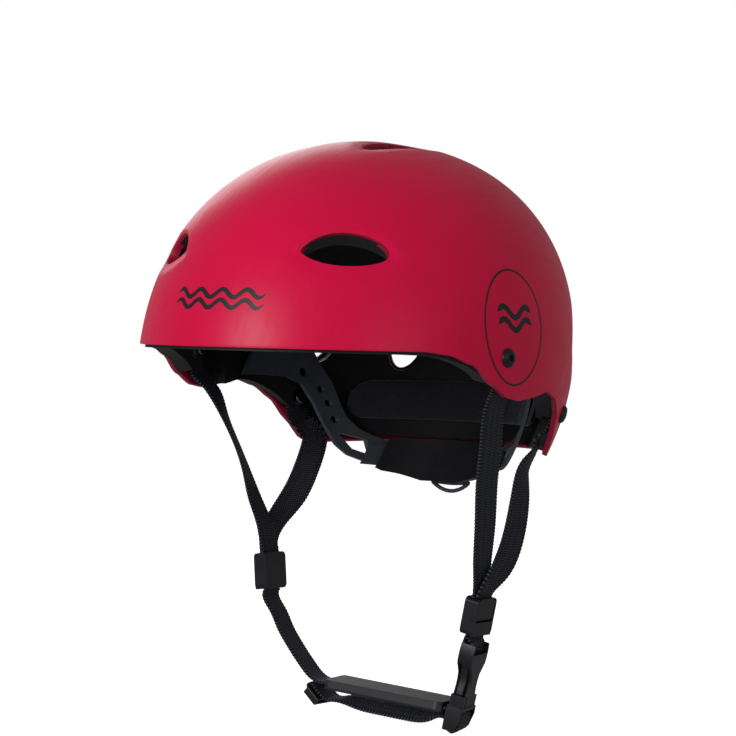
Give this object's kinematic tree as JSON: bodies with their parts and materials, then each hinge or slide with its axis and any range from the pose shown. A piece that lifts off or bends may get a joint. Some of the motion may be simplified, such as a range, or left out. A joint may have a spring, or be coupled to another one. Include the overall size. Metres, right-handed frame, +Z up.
{
  "type": "water_helmet",
  "caption": "Water sports helmet with a crimson shell, foam liner, adjustable nape cradle and a black webbing chin harness with side release buckle and padded chin strap",
  "frame": {"origin": "centre of the head opening, level with the front brim of the shell", "axes": "+Z up through the crown, -Y forward over the brow, +X to the wearer's left"},
  "size_m": [0.2338, 0.2853, 0.339],
  "materials": {
    "shell_plastic": "satin",
    "liner_foam": "matte",
    "pad_fabric": "matte",
    "webbing": "matte",
    "hardware_steel": "satin",
    "buckle_plastic": "satin",
    "chin_rubber": "matte",
    "cradle_plastic": "satin",
    "black_steel": "satin"
  },
  "bodies": {
    "helmet": {"outer_shell": "shell_plastic", "foam_liner": "liner_foam", "brow_pad": "pad_fabric", "crown_pad": "pad_fabric", "rear_pad": "pad_fabric", "front_anchor_screws": "black_steel", "front_anchor_nuts": "hardware_steel", "rear_anchor_screws": "black_steel", "rear_anchor_nuts": "hardware_steel", "anchor_washers": "hardware_steel", "strap_front_left": "webbing", "strap_rear_left": "webbing", "strap_front_right": "webbing", "strap_rear_right": "webbing", "divider_left": "buckle_plastic", "divider_right": "buckle_plastic", "buckle_female": "buckle_plastic", "arm_studs": "cradle_plastic"},
    "cradle": {"fit_arm_left": "cradle_plastic", "fit_arm_right": "cradle_plastic", "nape_band": "cradle_plastic", "nape_sleeve": "cradle_plastic"},
    "tab": {"adjuster_tab": "cradle_plastic"},
    "chin_harness": {"chin_strap": "webbing", "chin_pad": "chin_rubber", "buckle_male": "buckle_plastic", "strap_keeper": "buckle_plastic"},
    "prong_front": {"buckle_prong_front": "buckle_plastic"},
    "prong_rear": {"buckle_prong_rear": "buckle_plastic"},
    "lever_left": {"divider_lever_left": "buckle_plastic"},
    "lever_right": {"divider_lever_right": "buckle_plastic"}
  },
  "joints": [
    {"name": "divider_lever_left_flip", "type": "hinge", "parent": "helmet", "child": "lever_left", "pos_m": [0.07881, 0.0114, -0.15177], "axis": [0, 1, 0], "range_deg": [0, 95]},
    {"name": "divider_lever_right_flip", "type": "hinge", "parent": "helmet", "child": "lever_right", "pos_m": [-0.07928, 0.0147, -0.13747], "axis": [0, -1, 0], "range_deg": [0, 95]},
    {"name": "chin_strap_swing", "type": "hinge", "parent": "helmet", "child": "chin_harness", "pos_m": [-0.0752, 0.0145, -0.1488], "axis": [0, 1, 0], "range_deg": [0, 70]},
    {"name": "buckle_prong_front_squeeze", "type": "hinge", "parent": "chin_harness", "child": "prong_front", "pos_m": [0.06903, 0.00534, -0.19465], "axis": [-0.9667, -0.1219, 0.225], "range_deg": [0, 8], "stiffness_Nm_per_rad": 0.2},
    {"name": "buckle_prong_rear_squeeze", "type": "hinge", "parent": "chin_harness", "child": "prong_rear", "pos_m": [0.06767, 0.01666, -0.19434], "axis": [0.9667, 0.1219, -0.225], "range_deg": [0, 8], "stiffness_Nm_per_rad": 0.2},
    {"name": "cradle_tilt", "type": "hinge", "parent": "helmet", "child": "cradle", "pos_m": [0, 0.036, 0.006], "axis": [1, 0, 0], "range_deg": [-8, 1]},
    {"name": "adjuster_tab_flip", "type": "hinge", "parent": "cradle", "child": "tab", "pos_m": [0, 0.095, -0.079], "axis": [1, 0, 0], "range_deg": [0, 28]}
  ]
}
